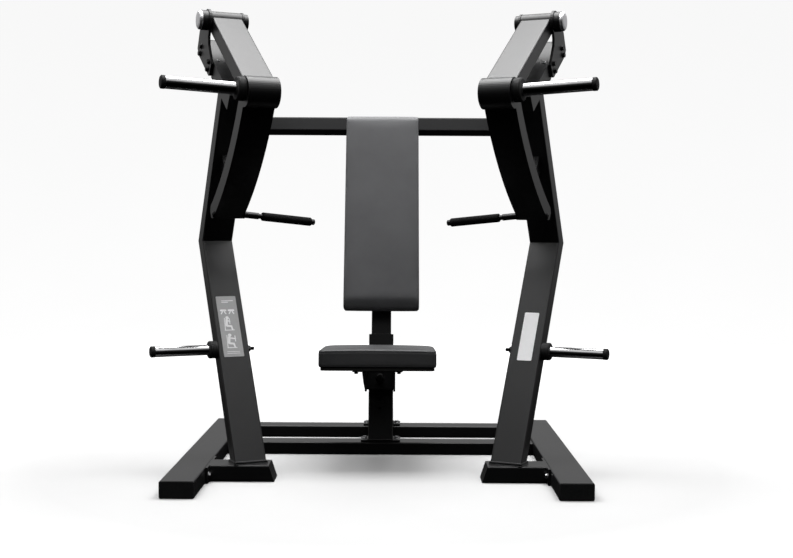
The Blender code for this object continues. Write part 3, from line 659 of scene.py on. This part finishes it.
def centre_welds(steel):
    mesh = bmesh.new()
    section = rounded_rectangle(0.0802, 0.0802, 0.006, 2)
    add_weld(mesh, [on_post(a, -0.050 + b, 0.4915) for a, b in section], 0.0026, True)
    for along in (0.858, 1.372):
        line = [Vector((side * 0.050, FRONT_Y + along, 0.0594)) for side in (-1, 1)]
        add_weld(mesh, line, 0.0022)
    for side in (-1, 1):
        for low, high in ((0.862, 0.948), (1.282, 1.368)):
            line = [Vector((side * 0.0512, FRONT_Y + along, 0.0596)) for along in (low, high)]
            add_weld(mesh, line, 0.0024)
    add_weld(mesh, [on_post(a, -0.050 + b, 1.3578) for a, b in section], 0.0024, True)
    piece("centre_welds", mesh, steel, "frame", BEAD)


# ------------------------------------------------------------------ placards
def face_point(side, w, along, off):
    """A point on the lower upright's front face: across it, up along it, and off it."""
    z = TUBE_THIN + along * math.cos(LOWER_LEAN) + off * math.sin(LOWER_LEAN)
    u = -along * math.sin(LOWER_LEAN) + off * math.cos(LOWER_LEAN)
    return in_plane(side, u, z, w)


def add_plate(mesh, side, centre, wide, tall, radius):
    """A thin rounded plate on the upright's face, with a softened rim."""
    outer = rounded_rectangle(wide, tall, radius, 4)
    inner = rounded_rectangle(wide - 0.0006, tall - 0.0006, radius - 0.0003, 4)
    loops = []
    for section, off in ((outer, PLACARD_GAP), (outer, PLACARD_THICK - 0.0002), (inner, PLACARD_THICK)):
        loops.append([face_point(side, centre[0] + a, centre[1] + b, off) for a, b in section])
    add_loops(mesh, loops)


def placards(grey_film, print_film, white_film):
    """The two adhesive plates: exercise pictures on the left one, and a blank one on the right."""
    left, right = bmesh.new(), bmesh.new()
    add_plate(left, -1, LEFT_PLACARD, 0.0780, 0.2500, 0.0030)
    piece("left_placard", left, grey_film, "frame", CRISP)
    print_mesh = bmesh.new()
    add_print(print_mesh)
    piece("left_placard_print", print_mesh, print_film, "frame", CRISP)
    add_plate(right, 1, RIGHT_PLACARD, 0.0570, 0.1970, 0.0040)
    piece("right_placard", right, white_film, "frame", CRISP)


def add_printed(mesh, outline):
    """A printed patch on the left placard, from its outline: x to its right, y up from its middle."""
    across, along = LEFT_PLACARD
    loops = []
    for off in (PRINT_LOW, PRINT_HIGH):
        loops.append([face_point(-1, across - x, along + y, off) for x, y in outline])
    add_loops(mesh, loops)


def add_stroke(mesh, start, end, wide):
    """One printed bar with round ends, from start to end on the left placard."""
    a, b = Vector(start), Vector(end)
    run = (b - a).normalized()
    across = Vector((-run.y, run.x))
    outline = []
    for middle, first in ((b, -math.pi / 2), (a, math.pi / 2)):
        for step in range(7):
            angle = first + math.pi * step / 6
            outline.append(middle + (run * math.cos(angle) + across * math.sin(angle)) * wide / 2)
    add_printed(mesh, outline)


def add_dot(mesh, at, radius):
    angles = (2 * math.pi * number / 18 for number in range(18))
    add_printed(mesh, [(at[0] + radius * math.cos(a), at[1] + radius * math.sin(a)) for a in angles])


def add_print(mesh):
    """Plain pictures of the press at its start and at its end, with bars for the heading and the footing."""
    for x, y, half in ((0.004, 0.106, 0.022), (-0.006, 0.100, 0.012)):
        add_stroke(mesh, (x - half, y), (x + half, y), 0.0030)
    for x in (-0.017, 0.014):
        add_stroke(mesh, (x - 0.009, 0.066), (x + 0.009, 0.066), 0.0080)
        add_stroke(mesh, (x - 0.009, 0.052), (x - 0.004, 0.060), 0.0048)
        add_stroke(mesh, (x + 0.009, 0.052), (x + 0.004, 0.060), 0.0048)
    for base, reach in ((0.000, 0.010), (-0.072, 0.022)):
        add_dot(mesh, (-0.006, base + 0.035), 0.0068)
        add_stroke(mesh, (-0.012, base + 0.004), (-0.009, base + 0.026), 0.0095)
        add_stroke(mesh, (-0.011, base + 0.002), (0.006, base + 0.000), 0.0080)
        add_stroke(mesh, (0.006, base + 0.000), (0.009, base - 0.014), 0.0066)
        add_stroke(mesh, (-0.008, base + 0.024), (-0.008 + reach, base + 0.020), 0.0060)
        add_stroke(mesh, (-0.019, base - 0.014), (-0.017, base + 0.034), 0.0030)
        add_stroke(mesh, (-0.020, base - 0.016), (0.016, base - 0.016), 0.0032)
        add_stroke(mesh, (-0.008 + reach, base + 0.010), (-0.008 + reach, base + 0.032), 0.0035)
    for y in (-0.104, -0.111):
        add_stroke(mesh, (-0.024, y), (0.024, y), 0.0018)


# ------------------------------------------------------------------ pads
def pad_mesh(wide, tall, thick, corner, edge):
    """The foam block before it is stretched: a boxed edge all round, and a flat back."""
    high = thick - 0.0020
    rows = ((SHY + 0.0020, 0.0), (SHY, 0.0035), (SHY, high - edge), (SHY + edge * 0.29, high - edge * 0.29),
            (SHY + edge, high))
    mesh = bmesh.new()
    loops = []
    for inset, height in rows:
        section = rounded_rectangle(wide - 2 * inset, tall - 2 * inset, max(corner - inset * 0.5, 0.004), 8)
        loops.append([Vector((a, b, height)) for a, b in section])
    add_loops(mesh, loops)
    return mesh


def fallen(a, b, size, crown, rolls):
    """How far the pad's top has come down at a point: over its crown, and over the rolls at its ends.

    rolls holds, for the lower and the upper end, how far in the roll starts and how far it comes down.
    """
    wide, tall, _ = size
    start, fall = rolls[0] if b < 0 else rolls[1]
    into = min(max((abs(b) - (tall / 2 - start)) / start, 0.0), 1.0)
    return crown * abs(2 * a / wide) ** 2.5 + fall * (1.0 - math.sqrt(1.0 - 0.96 * into ** 2))


def crowned(pad, size, crown, rolls):
    """Shapes the flat block's top into a crown with rolled ends."""
    for vertex in pad.data.vertices:
        a, b, height = vertex.co
        vertex.co.z -= fallen(a, b, size, crown, rolls) * max(height / size[2], 0.0)


def remeshed(source):
    """The source object's mesh rebuilt in even small faces."""
    change = source.modifiers.new("voxels", "REMESH")
    change.mode = "VOXEL"
    change.voxel_size = PAD_VOXEL
    graph = bpy.context.evaluated_depsgraph_get()
    made = bpy.data.meshes.new_from_object(source.evaluated_get(graph))
    source.modifiers.clear()
    return made


def inflate(pad):
    """Blows the cover up over its foam with cloth simulation; the back stays flat on its board."""
    held = pad.vertex_groups.new(name="held")
    for vertex in pad.data.vertices:
        if vertex.co.z < 0.0075:
            held.add([vertex.index], 1.0, "REPLACE")
    start = [vertex.co.copy() for vertex in pad.data.vertices]
    cloth = pad.modifiers.new("cover", "CLOTH")
    cloth.settings.quality = 5
    cloth.settings.mass = 0.3
    cloth.settings.tension_stiffness = 14.0
    cloth.settings.compression_stiffness = 14.0
    cloth.settings.shear_stiffness = 5.0
    cloth.settings.bending_stiffness = 0.6
    cloth.settings.vertex_group_mass = "held"
    cloth.settings.use_pressure = True
    cloth.settings.uniform_pressure_force = 4.0
    cloth.settings.effector_weights.gravity = 0.0
    cloth.point_cache.frame_start = 1
    cloth.point_cache.frame_end = CLOTH_FRAMES
    scene = bpy.context.scene
    for number in range(1, CLOTH_FRAMES + 1):
        scene.frame_set(number)
    graph = bpy.context.evaluated_depsgraph_get()
    result = pad.evaluated_get(graph).to_mesh()
    moved = [vertex.co.copy() for vertex in result.vertices]
    pad.evaluated_get(graph).to_mesh_clear()
    pad.modifiers.clear()
    held_back = [capped(before, after - before) for before, after in zip(start, moved)]
    for vertex, before, shift in zip(pad.data.vertices, start, evened(pad.data, held_back, 30)):
        vertex.co = before + Vector(shift)
    scene.frame_set(1)


def capped(place, shift):
    """The swelling that is kept: never inwards at the sides, and no further than the caps."""
    outwards = [move if move * at > 0 else 0.0 for move, at in zip(shift.xy, place.xy)]
    sideways = Vector((*outwards, 0.0))
    if sideways.length > SIDE_CAP:
        sideways *= SIDE_CAP / sideways.length
    return sideways + Vector((0.0, 0.0, min(max(shift.z, 0.0), TOP_CAP)))


def evened(data, shifts, rounds):
    """Evens out how far neighbouring points of a mesh move, which takes out small puckers."""
    edges = np.array([edge.vertices[:] for edge in data.edges])
    moves = np.array([tuple(shift) for shift in shifts])
    counts = np.bincount(edges.ravel(), minlength=len(moves))[:, None]
    for _ in range(rounds):
        total = np.zeros_like(moves)
        np.add.at(total, edges[:, 0], moves[edges[:, 1]])
        np.add.at(total, edges[:, 1], moves[edges[:, 0]])
        moves = (moves + total / counts) / 2
    return moves


def subdivided(pad):
    change = pad.modifiers.new("finer", "SUBSURF")
    change.levels = 1
    change.render_levels = 1
    graph = bpy.context.evaluated_depsgraph_get()
    finer = bpy.data.meshes.new_from_object(pad.evaluated_get(graph))
    pad.modifiers.clear()
    pad.data = finer


def sunk_seam(pad, seam, wide, deep):
    """Pulls the cover in along a seam."""
    tree = KDTree(len(seam))
    for number, point in enumerate(seam):
        tree.insert(point, number)
    tree.balance()
    normals = [vertex.normal.copy() for vertex in pad.data.vertices]
    for vertex, normal in zip(pad.data.vertices, normals):
        _, _, distance = tree.find(vertex.co)
        if distance < wide:
            vertex.co -= normal * (deep * (0.5 + 0.5 * math.cos(math.pi * distance / wide)))


def seam_line(pad, size, corner, height, crown, rolls):
    """The line round the pad at one height, laid on its surface, and lower where its ends roll down."""
    tree = BVHTree.FromPolygons([vertex.co for vertex in pad.data.vertices],
                                [tuple(face.vertices) for face in pad.data.polygons])
    wide, tall, thick = size
    outline = [Vector((a, b, height)) for a, b in rounded_rectangle(wide, tall, corner, 10)]
    line = resampled(outline, SEAM_STEP, True)
    for point in line:
        point.z -= fallen(point.x, point.y, size, crown, rolls) * height / thick
    found = []
    for point in line:
        centre = Vector((0, 0, point.z))
        inward = centre - point
        inward.x *= min(1.0, tall / wide)
        hit = tree.ray_cast(point * 1.15 - centre * 0.15, inward.normalized())
        near = tree.find_nearest(hit[0] if hit[0] else point)
        found.append((near[0], near[1]))
    return found


def add_stitches(mesh, line, off, place, pitch=0.0045, length=0.0030):
    """Arched thread stitches beside a seam; line holds (point, normal) pairs."""
    count = len(line)
    every = max(1, round(pitch / SEAM_STEP))
    span = max(1, round(length / SEAM_STEP))
    for start in range(0, count - every, every):
        points = []
        for number in range(span + 1):
            point, normal = line[(start + number) % count]
            after = line[(start + number + 1) % count][0]
            run = (after - point).normalized()
            side = normal.cross(run).normalized()
            rise = 0.00035 if 0 < number < span else -0.0002
            points.append(place(*(point + side * off + normal * rise)))
        sweep(mesh, points, 0.00038, sides=5)


def corner_seams(size, corner, edge):
    """The seams up the four corners of the pad's sides, as points."""
    wide, tall, thick = size
    reach = corner * (1 - math.sqrt(0.5)) + SHY
    points = []
    for side_x in (-1, 1):
        for side_y in (-1, 1):
            for step in range(24):
                height = 0.006 + (thick - edge - 0.010) * step / 23
                points.append(Vector((side_x * (wide / 2 - reach), side_y * (tall / 2 - reach), height)))
    return points


def upholster(name, node, size, corner, edge, crown, rolls, place, body, cover, thread_finish):
    """One padded cushion: foam block, cloth-simulated cover, sunk seams and stitching."""
    wide, tall, thick = size
    pad = link_mesh(f"{name}_cover", pad_mesh(wide, tall, thick, corner, edge), cover)
    pad.data = remeshed(pad)
    crowned(pad, size, crown, rolls)
    inflate(pad)
    subdivided(pad)
    top = seam_line(pad, size, corner, thick - edge - 0.004, crown, rolls)
    sunk_seam(pad, [point for point, _ in top], 0.0042, 0.0009)
    sunk_seam(pad, corner_seams(size, corner, edge), 0.0045, 0.0009)
    low = seam_line(pad, size, corner, 0.0070, crown, rolls)
    sunk_seam(pad, [point for point, _ in low], 0.0040, 0.0008)
    stitches = bmesh.new()
    add_stitches(stitches, top, 0.0030, place)
    piece(f"{name}_stitches", stitches, thread_finish, body, BEAD)
    for vertex in pad.data.vertices:
        vertex.co = place(*vertex.co)
    pad.data.materials.clear()
    pad.data.materials.append(cover)
    pad.data.shade_smooth()
    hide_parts(node)
    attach(pad, body)


# ------------------------------------------------------------------ studio
def sheet_of_rows(name, rows, material, reach):
    """A wide sheet through (y, z) rows."""
    mesh = bmesh.new()
    lines = [[mesh.verts.new((x, y, z)) for x in (-reach, reach)] for y, z in rows]
    for (a, b), (c, d) in zip(lines, lines[1:]):
        mesh.faces.new((a, b, d, c))
    made = link_mesh(name, mesh, material, 60.0)
    return made


def floor():
    """A pale floor that brightens away from the machine, and curves up into a lit wall behind it.

    Neither throws light on the machine, as if black cards stood round it.
    """
    matt = Finish("pale_floor", 0.80, specular=0.2)
    matt.colour(matt.noise(1.5, 4.0), (0.3, (FLOOR_TONE,) * 3), (0.7, (FLOOR_TONE + 0.02,) * 3))
    matt.bump((matt.noise(90.0, 2.0), 0.05, 0.0003))
    away = matt.add("ShaderNodeVectorMath", operation="LENGTH")
    matt.link(matt.place.outputs["Object"], away.inputs[0])
    glow = matt.ranged(away.outputs["Value"], 0.0, 0.96, 1.3, 4.6)
    matt.link(glow, matt.shader.inputs["Emission Strength"])
    matt.shader.inputs["Emission Color"].default_value = (1.0, 1.0, 1.0, 1.0)
    near = [(-12.0, -0.0005), (1.0, -0.0005), (5.0, -0.0005)]
    ground = sheet_of_rows("studio_floor", near, matt.material, 14.0)
    ground.visible_glossy = False
    ground.visible_diffuse = False
    rows = [(5.0, -0.0005)]
    for step in range(1, 25):
        angle = math.pi / 2 * step / 24
        rows.append((5.0 + 3.0 * math.sin(angle), 3.0 * (1 - math.cos(angle))))
    rows.append((8.0, 9.0))
    lit = Finish("lit_wall", 0.90, specular=0.1)
    lit.colour(lit.noise(0.8, 3.0), (0.3, (0.10,) * 3), (0.7, (0.12,) * 3))
    lit.shader.inputs["Emission Color"].default_value = (1.0, 1.0, 1.0, 1.0)
    lit.shader.inputs["Emission Strength"].default_value = 0.92
    wall = sheet_of_rows("studio_wall", rows, lit.material, 14.0)
    wall.visible_glossy = False
    wall.visible_diffuse = False


def softbox(name, place, target, wide, tall, radiance):
    light = bpy.data.lights.new(name, "AREA")
    light.shape = "RECTANGLE"
    light.size = wide
    light.size_y = tall
    light.energy = radiance * math.pi * wide * tall
    made = bpy.data.objects.new(name, light)
    bpy.context.scene.collection.objects.link(made)
    made.location = place
    made.rotation_euler = (Vector(target) - Vector(place)).to_track_quat("-Z", "Y").to_euler()
    return made


def surroundings():
    """A pale room: bright behind, beside and above the machine, darker in front of it and below."""
    world = bpy.data.worlds.new("studio")
    bpy.context.scene.world = world
    world.use_nodes = True
    tree = world.node_tree
    background = tree.nodes["Background"]
    place = tree.nodes.new("ShaderNodeTexCoord")
    split = tree.nodes.new("ShaderNodeSeparateXYZ")
    tree.links.new(place.outputs["Generated"], split.inputs["Vector"])
    ramps = []
    for axis, start, end, low in (("Y", -0.30, 0.55, 0.02), ("Z", -0.13, 0.09, 0.01)):
        ramp = tree.nodes.new("ShaderNodeMapRange")
        ramp.interpolation_type = "SMOOTHSTEP"
        ramp.inputs["From Min"].default_value = start
        ramp.inputs["From Max"].default_value = end
        ramp.inputs["To Min"].default_value = low
        ramp.inputs["To Max"].default_value = math.sqrt(ROOM_LIGHT)
        tree.links.new(split.outputs[axis], ramp.inputs["Value"])
        ramps.append(ramp)
    product = tree.nodes.new("ShaderNodeMath")
    product.operation = "MULTIPLY"
    for ramp, socket in zip(ramps, product.inputs):
        tree.links.new(ramp.outputs["Result"], socket)
    ceiling = tree.nodes.new("ShaderNodeMapRange")
    ceiling.interpolation_type = "SMOOTHSTEP"
    ceiling.inputs["From Min"].default_value = 0.30
    ceiling.inputs["From Max"].default_value = 0.75
    ceiling.inputs["To Min"].default_value = 0.0
    ceiling.inputs["To Max"].default_value = CEILING_LIGHT
    tree.links.new(split.outputs["Z"], ceiling.inputs["Value"])
    total = tree.nodes.new("ShaderNodeMath")
    total.operation = "MAXIMUM"
    tree.links.new(product.outputs[0], total.inputs[0])
    tree.links.new(ceiling.outputs["Result"], total.inputs[1])
    sight = tree.nodes.new("ShaderNodeLightPath")
    seen = tree.nodes.new("ShaderNodeMix")
    seen.data_type = "FLOAT"
    tree.links.new(sight.outputs["Is Camera Ray"], seen.inputs[0])
    tree.links.new(total.outputs[0], seen.inputs[2])
    seen.inputs[3].default_value = 1.0
    tree.links.new(seen.outputs[0], background.inputs["Strength"])
    background.inputs["Color"].default_value = (1.0, 1.0, 1.0, 1.0)


def lights():
    softbox("overhead_softbox", (0.0, 0.25, 3.6), (0.0, 0.20, 0.0), 4.2, 1.9, 7.2)
    softbox("front_softbox", (0.0, -3.2, 3.7), (0.0, 0.0, 1.0), 2.6, 1.0, 0.9)


def camera():
    """Nearly square on to the front, at chest height."""
    yaw, pitch, roll = (math.radians(angle) for angle in CAMERA_TURN)
    forward = Vector((math.sin(yaw) * math.cos(pitch), math.cos(yaw) * math.cos(pitch), -math.sin(pitch)))
    right = Vector((math.cos(yaw), -math.sin(yaw), 0.0))
    up = right.cross(forward)
    across = right * math.cos(roll) + up * math.sin(roll)
    over = up * math.cos(roll) - right * math.sin(roll)
    data = bpy.data.cameras.new("camera")
    data.sensor_width = 36.0
    data.lens = CAMERA_LENS
    made = bpy.data.objects.new("camera", data)
    bpy.context.scene.collection.objects.link(made)
    turn = Matrix((across, over, -forward)).transposed().to_4x4()
    made.matrix_world = Matrix.Translation(CAMERA_AT) @ turn
    bpy.context.scene.camera = made


def main():
    for old in list(bpy.data.objects):
        bpy.data.objects.remove(old, do_unlink=True)
    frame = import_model()
    finishes = {"steel": powder_coat(), "rubber": rubber(), "foam": grip_foam(),
                "vinyl": vinyl("backrest_vinyl", 0.114, 0.136),
                # painted shade: the seat's vinyl is the backrest's vinyl at about half its brightness, a
                # darker copy that stands in for the shade on the seat's front
                "seat_vinyl_painted_shade": vinyl("seat_vinyl_painted_shade", 0.058, 0.072),
                "thread": thread(), "board": board(),
                "left_chrome": chrome("left_chrome_plating", -PLANE_TURN),
                "right_chrome": chrome("right_chrome_plating", PLANE_TURN),
                "polished": metal("polished_steel", 0.62, 0.80, 0.20),
                "axle": metal("turned_axle_steel", 0.93, 0.99, 0.42),
                "satin_steel": metal("satin_black_steel", 0.020, 0.045, 0.38),
                "bearing": metal("bearing_steel", 0.42, 0.60, 0.30),
                "plated": metal("zinc_plate", 0.34, 0.52, 0.34),
                "dark": metal("blackened_steel", 0.030, 0.060, 0.36)}
    dress_nodes(frame, finishes)
    for name, side in SIDES:
        bracket_bolts(name, side, finishes["dark"])
        foot_bolts(name, side, finishes["plated"])
        horn_nut(name, side, finishes["dark"])
        handle_nut(name, side, finishes["dark"])
        side_welds(name, side, finishes["steel"])
        head_screws(name, side, finishes["plated"])
        lever_welds(name, side, finishes["steel"])
    post_bolts(finishes["plated"])
    seat_bolts(finishes["dark"])
    centre_welds(finishes["steel"])
    placards(film("grey_film", 0.36, 0.40, 0.45), film("pale_ink", 0.80, 0.90, 0.50),
             film("white_film", 0.93, 0.97, 0.40))
    upholster("seat", "seat_pad", SEAT_SIZE, 0.020, 0.007, 0.004, ((0.030, 0.003), (0.012, 0.001)),
              seat_point, "seat", finishes["seat_vinyl_painted_shade"], finishes["thread"])
    upholster("backrest", "backrest_pad", BACK_SIZE, 0.010, 0.007, 0.002, ((0.050, 0.038), (0.026, 0.016)),
              back_point, "frame", finishes["vinyl"], finishes["thread"])
    floor()
    surroundings()
    lights()
    camera()
    bpy.context.scene.view_settings.view_transform = "Standard"


main()
